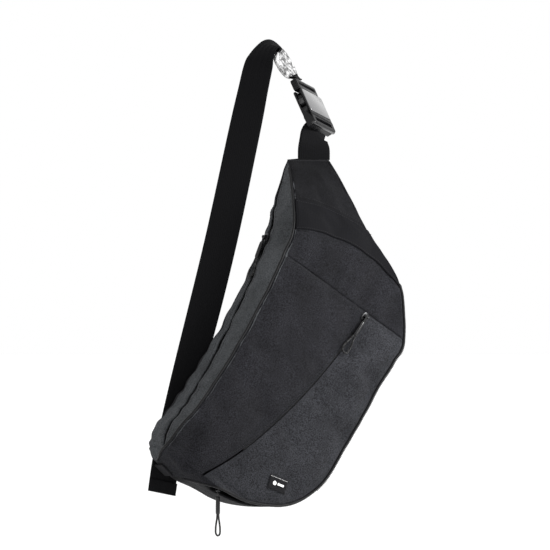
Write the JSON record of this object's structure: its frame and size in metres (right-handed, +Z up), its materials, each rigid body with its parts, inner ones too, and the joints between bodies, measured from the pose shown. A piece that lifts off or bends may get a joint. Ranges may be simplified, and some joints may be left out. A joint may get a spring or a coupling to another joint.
{
  "type": "sling bag",
  "caption": "Zipped fabric sling bag hanging by its shoulder strap, with a side-release buckle, a slanting front pocket zip and cord zip pulls.",
  "frame": {"origin": "underside of the shoulder strap at its highest point, where the bag hangs", "axes": "+Z up; -Y is the bag's front, +Y its back that lies against the wearer; +X towards the curved edge"},
  "size_m": [0.3285, 0.1291, 0.5829],
  "materials": {
    "heather_fabric": "matte heather weave",
    "charcoal_fabric": "matte fine weave",
    "black_fabric": "matte plain weave",
    "webbing": "ribbed webbing",
    "piping": "satin coated piping",
    "zip_teeth": "satin coil teeth",
    "zip_tape": "matte woven tape",
    "slider_metal": "gunmetal plated",
    "pull_sleeve": "gloss moulded",
    "pull_cord": "braided cord with light flecks",
    "buckle_plastic": "gloss moulded",
    "film": "crinkled clear film",
    "label": "fine woven label",
    "label_mark": "white woven thread"
  },
  "bodies": {
    "bag": {"back_panel": "black_fabric", "back_pad": "black_fabric", "top_wing_panel": "charcoal_fabric", "ribbed_band": "webbing", "middle_panel": "charcoal_fabric", "main_front_panel": "charcoal_fabric", "pocket_panel": "charcoal_fabric", "pocket_lining": "black_fabric", "long_gusset_front": "heather_fabric", "long_gusset_back": "heather_fabric", "side_gusset": "heather_fabric", "tip_binding": "black_fabric", "front_piping": "piping", "edge_piping": "piping", "main_zip_tape": "zip_tape", "main_zip_teeth": "zip_teeth", "pocket_zip_tape": "zip_tape", "pocket_zip_teeth": "zip_teeth", "edge_zip_tape": "zip_tape", "edge_zip_teeth": "zip_teeth", "edge_zip_side_teeth": "zip_teeth", "label_patch": "label", "label_mark": "label_mark", "short_strap": "webbing", "buckle_housing": "buckle_plastic", "buckle_top_plate": "buckle_plastic", "buckle_bottom_plate": "buckle_plastic", "strap_tail": "webbing", "strap_tail_hem": "webbing"},
    "strap": {"long_strap": "webbing", "strap_return": "webbing", "clear_film": "film", "buckle_male": "buckle_plastic"},
    "arm_left": {"release_arm_left": "buckle_plastic"},
    "arm_right": {"release_arm_right": "buckle_plastic"},
    "main_slider": {"main_zip_slider": "slider_metal"},
    "main_pull": {"main_zip_pull": "pull_sleeve", "main_pull_cord": "pull_cord"},
    "pocket_slider": {"pocket_zip_slider": "slider_metal"},
    "pocket_pull": {"pocket_zip_pull": "pull_sleeve", "pocket_pull_cord": "pull_cord"},
    "edge_slider": {"edge_zip_slider": "slider_metal"},
    "edge_pull": {"edge_zip_pull": "pull_sleeve", "edge_pull_cord": "pull_cord"}
  },
  "joints": [
    {"name": "buckle_slide", "type": "slide", "parent": "bag", "child": "strap", "axis": [-0.0563, 0.5558, 0.8294], "range_m": [0, 0.03]},
    {"name": "left_arm_press", "type": "hinge", "parent": "strap", "child": "arm_left", "pos_m": [0.02506, -0.04126, -0.06431], "axis": [0.4888, -0.709, 0.5083], "range_deg": [0, 5], "stiffness_Nm_per_rad": 0.3},
    {"name": "right_arm_press", "type": "hinge", "parent": "strap", "child": "arm_right", "pos_m": [0.0477, -0.02997, -0.07033], "axis": [0.4888, -0.709, 0.5083], "range_deg": [-5, 0], "stiffness_Nm_per_rad": 0.3},
    {"name": "main_zip_travel", "type": "hinge", "parent": "bag", "child": "main_slider", "pos_m": [-0.862, -0.065, 0.181], "axis": [0.0452, -0.9968, 0.0663], "range_deg": [-15.4, 0]},
    {"name": "main_pull_swing", "type": "hinge", "parent": "main_slider", "child": "main_pull", "pos_m": [-0.03978, -0.05512, -0.23118], "axis": [-0.0452, 0.9968, -0.0663], "range_deg": [0, 150]},
    {"name": "pocket_zip_travel", "type": "hinge", "parent": "bag", "child": "pocket_slider", "pos_m": [-0.47, -0.108, 0.1], "axis": [0, -1, 0], "range_deg": [-18.6, 0]},
    {"name": "pocket_pull_swing", "type": "hinge", "parent": "pocket_slider", "child": "pocket_pull", "pos_m": [0.06683, -0.1122, -0.32549], "axis": [-0.7837, 0, 0.6211], "range_deg": [0, 150]},
    {"name": "edge_zip_travel", "type": "hinge", "parent": "bag", "child": "edge_slider", "pos_m": [-0.06, -0.096, -0.372], "axis": [0, -1, 0], "range_deg": [0, 40.5]},
    {"name": "edge_pull_swing", "type": "hinge", "parent": "edge_slider", "child": "edge_pull", "pos_m": [-0.13413, -0.096, -0.52743], "axis": [0, -1, 0], "range_deg": [-95, 45]}
  ]
}
